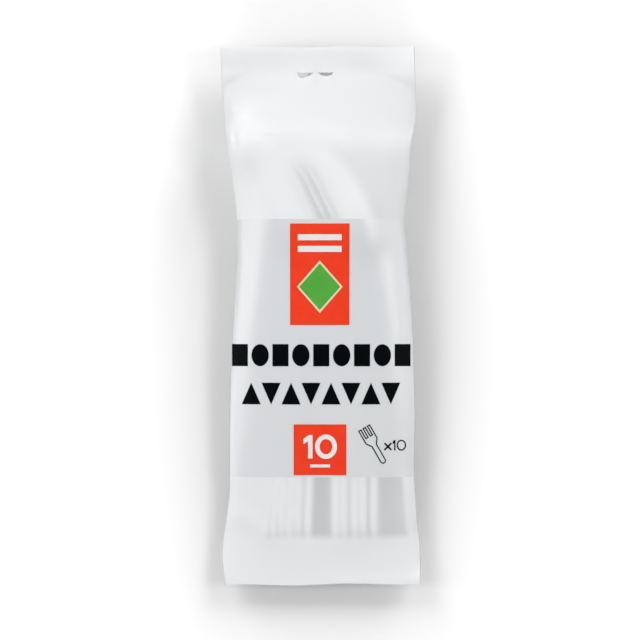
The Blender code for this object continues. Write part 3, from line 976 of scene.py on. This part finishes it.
def store_haze_and_sheen(mesh, haze_and_sheen):
    places = np.array([vert.co[:2] for vert in mesh.vertices])
    values = sample(haze_and_sheen, places[:, 0], places[:, 1])
    held = mesh.attributes.new("haze_and_sheen", "FLOAT", "POINT")
    held.data.foreach_set("value", values.astype(np.float32))


def film_part(name, stretches, haze_and_sheen, material):
    """A piece of the film tube from one or more stretches of rings."""
    shaped = bmesh.new()
    for rings in stretches:
        rows = [[shaped.verts.new(point) for point in ring] for ring in rings]
        for low, high in zip(rows, rows[1:]):
            for i in range(len(low)):
                j = (i + 1) % len(low)
                shaped.faces.new((low[i], low[j], high[j], high[i]))
    bmesh.ops.remove_doubles(shaped, verts=shaped.verts, dist=1e-7)
    bmesh.ops.recalc_face_normals(shaped, faces=shaped.faces)
    mesh = bpy.data.meshes.new(name)
    shaped.to_mesh(mesh)
    shaped.free()
    mesh.shade_smooth()
    store_haze_and_sheen(mesh, haze_and_sheen)
    piece = add_object(name, mesh, material)
    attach(piece, "root")
    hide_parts("film_pouch")
    return piece


def add_back_seam(back, haze_and_sheen, material):
    """The long flat seam on the film's back."""
    flat = bmesh.new()
    rows = []
    for y in np.arange(POUCH_LOW.y + SEAM_FROM_END, POUCH_HIGH.y - SEAM_FROM_END, SEAM_STEP):
        row = []
        for x in (-SEAM_HALF_WIDTH, 0.0, SEAM_HALF_WIDTH):
            row.append(flat.verts.new((x, y, float(sample(back, x, y)) - INK_LIFT)))
        rows.append(row)
    for low, high in zip(rows, rows[1:]):
        for i in range(len(low) - 1):
            flat.faces.new((low[i], high[i], high[i + 1], low[i + 1]))
    mesh = bpy.data.meshes.new("film_back_seam")
    flat.to_mesh(mesh)
    flat.free()
    mesh.shade_smooth()
    store_haze_and_sheen(mesh, haze_and_sheen)
    seam = add_object("film_back_seam", mesh, material)
    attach(seam, "root")
    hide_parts("film_pouch")


def add_film(forks):
    tops, bottoms = fork_levels(forks)
    front, back = film_levels(tops, bottoms)
    haze_and_sheen = film_haze_and_sheen(tops)
    clear = clear_film()
    below_slit = [open_slit(ring, y) for y, ring in film_rings(BAND_TOP, SLIT_Y, front, back)]
    above_slit = [ring for y, ring in film_rings(SLIT_Y, YS[-1], front, back)]
    band = [ring for y, ring in film_rings(BAND_BOTTOM, BAND_TOP, front, back)]
    hem = [ring for y, ring in film_rings(YS[0], BAND_BOTTOM, front, back)]
    film_part("film_header", [below_slit, above_slit], haze_and_sheen, clear)
    film_part("film_hem", [hem], haze_and_sheen, clear)
    film_part("film_band", [band], haze_and_sheen, white_print())
    add_back_seam(back, haze_and_sheen, clear)
    return front


# Print on the band


def box_outline(box):
    """A rectangle given by two pixels of the photograph."""
    x0, y0, x1, y1 = box
    return [(x0, y0), (x1, y0), (x1, y1), (x0, y1)]


def cut_up(flat, axis):
    """Cuts a flat shape into strips across an axis, so that it can follow the film."""
    values = [vert.co[axis] for vert in flat.verts]
    normal = Vector((1, 0, 0)) if axis == 0 else Vector((0, 1, 0))
    place = math.floor(min(values) / PRINT_CELL) * PRINT_CELL + PRINT_CELL
    while place < max(values):
        geom = flat.verts[:] + flat.edges[:] + flat.faces[:]
        bmesh.ops.bisect_plane(
            flat, geom=geom, dist=1e-7, plane_co=normal * place, plane_no=normal
        )
        place += PRINT_CELL


def over_film(front, x, y, lift):
    """The point that lies over the film's front by the lift."""
    slope_x = float(sample(front, x + CELL, y) - sample(front, x - CELL, y)) / (2 * CELL)
    slope_y = float(sample(front, x, y + CELL) - sample(front, x, y - CELL)) / (2 * CELL)
    normal = Vector((-slope_x, -slope_y, 1.0)).normalized()
    return Vector((x, y, float(sample(front, x, y)))) + normal * lift


def print_shapes(name, outlines, front, material, lift):
    """Flat outlines in one ink, laid on the film."""
    flat = bmesh.new()
    for outline in outlines:
        verts = [flat.verts.new((*at_pixel(x, y), 0.0)) for x, y in outline]
        flat.faces.new(verts)
    cut_up(flat, 0)
    cut_up(flat, 1)
    for vert in flat.verts:
        vert.co = over_film(front, vert.co.x, vert.co.y, lift)
    bmesh.ops.recalc_face_normals(flat, faces=flat.faces)
    if sum(face.normal.z for face in flat.faces) < 0:
        bmesh.ops.reverse_faces(flat, faces=flat.faces)
    mesh = bpy.data.meshes.new(name)
    flat.to_mesh(mesh)
    flat.free()
    mesh.shade_smooth()
    piece = add_object(name, mesh, material)
    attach(piece, "root")


def placed(shape, box):
    """A shape drawn in a unit box, y upward, set in a box of the photograph's pixels."""
    x0, y0, x1, y1 = box
    return [(x0 + x * (x1 - x0), y1 - y * (y1 - y0)) for x, y in shape]


def arc(centre, radius, start, end, steps=16):
    """Points along an arc; the angles are in degrees."""
    angles = [math.radians(start + (end - start) * n / steps) for n in range(steps + 1)]
    return [(centre[0] + radius * math.cos(a), centre[1] + radius * math.sin(a)) for a in angles]


def numeral_one(box):
    return [placed([(0.5, 0), (1, 0), (1, 1), (0.62, 1), (0, 0.84), (0, 0.62), (0.5, 0.72)], box)]


def numeral_zero(box, weight):
    """A ring of quads; the weight is the stroke as a share of the height."""
    width, height = box[2] - box[0], box[3] - box[1]
    inner = (0.5 - weight * height / width, 0.5 - weight)
    turns = [2 * math.pi * n / 36 for n in range(37)]
    shapes = []
    for a, b in zip(turns, turns[1:]):
        quad = [(0.5 + 0.5 * math.cos(t), 0.5 + 0.5 * math.sin(t)) for t in (a, b)]
        quad += [(0.5 + inner[0] * math.cos(t), 0.5 + inner[1] * math.sin(t)) for t in (b, a)]
        shapes.append(placed(quad, box))
    return shapes


def times_sign(box, weight):
    """An upright cross of twelve points turned by an eighth."""
    arm = weight / 2
    cross = [(arm, arm), (0.5, arm), (0.5, -arm), (arm, -arm), (arm, -0.5), (-arm, -0.5),
             (-arm, -arm), (-0.5, -arm), (-0.5, arm), (-arm, arm), (-arm, 0.5), (arm, 0.5)]
    half = math.sqrt(0.5)
    turned = [(0.5 + (x - y) * half * 1.3, 0.5 + (x + y) * half * 1.3) for x, y in cross]
    return [placed(turned, box)]


MOTIFS = {
    "square": [(0.04, 0), (0.96, 0), (0.96, 1), (0.04, 1)],
    "disc": arc((0.5, 0.5), 0.5, 0, 345, 23),
    "peak": [(0, 0), (1, 0), (0.5, 1)],
    "valley": [(0, 1), (0.5, 0), (1, 1)],
    "diamond": [(0.5, 0), (1, 0.5), (0.5, 1), (0, 0.5)],
}


def motif_row(box, kinds, gap):
    """Plain bold motifs side by side across the box."""
    x0, y0, x1, y1 = box
    width = (x1 - x0 - gap * (len(kinds) - 1)) / len(kinds)
    outlines = []
    for number, kind in enumerate(kinds):
        left = x0 + number * (width + gap)
        outlines.append(placed(MOTIFS[kind], (left, y0, left + width, y1)))
    return outlines


def stroke(path, width):
    """A closed line of even width, as quads with mitred corners."""
    sides = []
    for before, point, after in zip(path[-1:] + path[:-1], path, path[1:] + path[:1]):
        first = Vector(point) - Vector(before)
        second = Vector(after) - Vector(point)
        first.normalize()
        second.normalize()
        along = (first + second).normalized()
        across = Vector((-along.y, along.x))
        reach = width / 2 / max(0.35, across.dot(Vector((-first.y, first.x))))
        sides.append((Vector(point) + across * reach, Vector(point) - across * reach))
    quads = []
    for (a, b), (c, d) in zip(sides, sides[1:] + sides[:1]):
        quads.append([tuple(a), tuple(c), tuple(d), tuple(b)])
    return quads


def fork_sign(centre, length, turn, width):
    """A plain fork in outline, leaning, with three tines."""
    half_handle = 0.062 * length
    half_end = 0.4 * half_handle
    half_head = 0.155 * length
    tine = 2 * half_head / 5
    low, high = -0.5 * length, 0.5 * length
    shoulder = 0.13 * length
    root = 0.25 * length
    right = [(half_handle, low + 0.04 * length), (half_handle, 0.0), (half_head, shoulder)]
    outline = [(half_end, low)] + right + [(half_head, high)]
    for number in range(2):
        slot = half_head - tine * (1 + 2 * number)
        outline += [(slot, high), (slot, root), (slot - tine, root), (slot - tine, high)]
    outline += [(-half_head, high)] + [(-x, y) for x, y in reversed(right)]
    outline += [(-half_end, low)]
    angle = math.radians(turn)
    leaning = []
    for x, y in outline:
        leaning.append((centre[0] + x * math.cos(angle) - y * math.sin(angle),
                        centre[1] - x * math.sin(angle) - y * math.cos(angle)))
    return stroke(leaning, width)


def add_print(front):
    red = ink("red_print", RED_TONES)
    green = ink("green_print", GREEN_TONES)
    cream = ink("cream_print", CREAM_TONES)
    white = ink("panel_white_print", WHITE_TONES)
    black = ink("black_print", BLACK_TONES, BLACK_SHINE)
    upper = INK_LIFT * 2
    top = INK_LIFT * 3

    def show(name, outlines, material, lift=INK_LIFT):
        print_shapes(name, outlines, front, material, lift)

    show("print_red_panel", [box_outline(RED_PANEL)], red)
    bars = [box_outline(bar) for bar in PANEL_BARS]
    show("print_panel_bars", bars, white, upper)
    edge = placed(MOTIFS["diamond"], PANEL_DIAMOND)
    show("print_panel_edge", [edge], cream, upper)
    inside = placed(MOTIFS["diamond"], PANEL_DIAMOND_INSIDE)
    show("print_panel_green", [inside], green, top)
    first = motif_row(UPPER_ROW, ("square", "disc") * 4 + ("square",), UPPER_ROW_GAP)
    show("print_upper_row", first, black)
    second = motif_row(LOWER_ROW, ("peak", "valley") * 4, LOWER_ROW_GAP)
    show("print_lower_row", second, black)
    show("print_red_square", [box_outline(RED_SQUARE)], red)
    count = numeral_one(COUNT_ONE) + numeral_zero(COUNT_ZERO, COUNT_WEIGHT)
    show("print_count", count, white, upper)
    show("print_count_bar", [box_outline(COUNT_BAR)], white, upper)
    sign = fork_sign(FORK_SIGN_PIXEL, FORK_SIGN_LENGTH, FORK_SIGN_LEAN, FORK_SIGN_LINE)
    show("print_fork_sign", sign, black)
    times = times_sign(TIMES_SIGN, TIMES_SIGN_WEIGHT) + numeral_one(TIMES_ONE)
    times += numeral_zero(TIMES_ZERO, TIMES_ZERO_WEIGHT)
    show("print_times", times, black)


# Stage


def seen_white(nodes, links, grey, white):
    """White for camera, glossy and transmitted rays, and grey for the light that is scattered."""
    path = nodes.new("ShaderNodeLightPath")
    seen = path.outputs["Is Camera Ray"]
    for name in ("Is Glossy Ray", "Is Transmission Ray"):
        either = nodes.new("ShaderNodeMath")
        either.operation = "MAXIMUM"
        links.new(seen, either.inputs[0])
        links.new(path.outputs[name], either.inputs[1])
        seen = either.outputs["Value"]
    choose = nodes.new("ShaderNodeMixRGB")
    choose.inputs["Color1"].default_value = (grey, grey, grey, 1.0)
    choose.inputs["Color2"].default_value = (white, white, white, 1.0)
    links.new(seen, choose.inputs["Fac"])
    return choose.outputs["Color"]


def glow_far_off(nodes, links, shader):
    """Lifts the floor to full white away from the pack, outside the reach of its shadow."""
    place = nodes.new("ShaderNodeTexCoord")
    mapping = nodes.new("ShaderNodeMapping")
    mapping.inputs["Scale"].default_value = (1 / SHADOW_REACH[0], 1 / SHADOW_REACH[1], 0.0)
    away = nodes.new("ShaderNodeVectorMath")
    away.operation = "LENGTH"
    ranged = nodes.new("ShaderNodeMapRange")
    ranged.interpolation_type = "SMOOTHSTEP"
    ranged.inputs["From Min"].default_value = GLOW_START
    ranged.inputs["From Max"].default_value = GLOW_FULL
    ranged.inputs["To Max"].default_value = FAR_GLOW
    links.new(place.outputs["Object"], mapping.inputs["Vector"])
    links.new(mapping.outputs["Vector"], away.inputs[0])
    links.new(away.outputs["Value"], ranged.inputs["Value"])
    links.new(ranged.outputs["Result"], shader.inputs["Emission Strength"])
    links.new(seen_white(nodes, links, 0.0, 1.0), shader.inputs["Emission Color"])


def add_floor():
    mesh = bpy.data.meshes.new("floor")
    half = FLOOR_HALF
    corners = [(-half, -half, 0), (half, -half, 0), (half, half, 0), (-half, half, 0)]
    mesh.from_pydata(corners, [], [(0, 1, 2, 3)])
    material, nodes, links = new_material("floor")
    shader = nodes["Principled BSDF"]
    links.new(seen_white(nodes, links, FLOOR_GREY, FLOOR_WHITE), shader.inputs["Base Color"])
    glow_far_off(nodes, links, shader)
    shader.inputs["Roughness"].default_value = 0.9
    shader.inputs["Specular IOR Level"].default_value = 0.0
    add_object("floor", mesh, material)


def add_lamp(name, direction, height, size, power):
    around = math.radians(direction)
    up = math.radians(height)
    place = Vector((math.cos(around) * math.cos(up), math.sin(around) * math.cos(up), math.sin(up)))
    data = bpy.data.lights.new(name, "AREA")
    data.shape = "DISK"
    data.size = size
    data.energy = power
    lamp = bpy.data.objects.new(name, data)
    root.objects.link(lamp)
    lamp.location = place * LAMP_DISTANCE
    lamp.rotation_euler = (-place).to_track_quat("-Z", "Y").to_euler()


def add_sky():
    """A little light from all round, and white where the camera sees past the floor."""
    world = bpy.data.worlds.new("studio")
    bpy.context.scene.world = world
    world.use_nodes = True
    nodes, links = world.node_tree.nodes, world.node_tree.links
    links.new(seen_white(nodes, links, SKY_GREY, 1.0), nodes["Background"].inputs["Color"])


def add_lighting():
    add_sky()
    for lamp in LAMPS:
        add_lamp(*lamp)


def add_camera():
    """Straight above the pack, at the photograph's framing."""
    data = bpy.data.cameras.new("camera")
    camera = bpy.data.objects.new("camera", data)
    root.objects.link(camera)
    centre_x, centre_y = at_pixel(PHOTO_SIZE / 2, PHOTO_SIZE / 2)
    camera.location = (centre_x, centre_y, CAMERA_DISTANCE + FOCUS_HEIGHT)
    data.sensor_width = 36.0
    data.lens = data.sensor_width * CAMERA_DISTANCE / (PHOTO_SIZE * MM_PER_PIXEL * MM)
    data.clip_end = 10.0
    bpy.context.scene.camera = camera


def main():
    bpy.context.scene.view_settings.view_transform = "Standard"
    add_camera()
    add_floor()
    add_lighting()
    forks = add_forks()
    front = add_film(forks)
    add_print(front)


main()
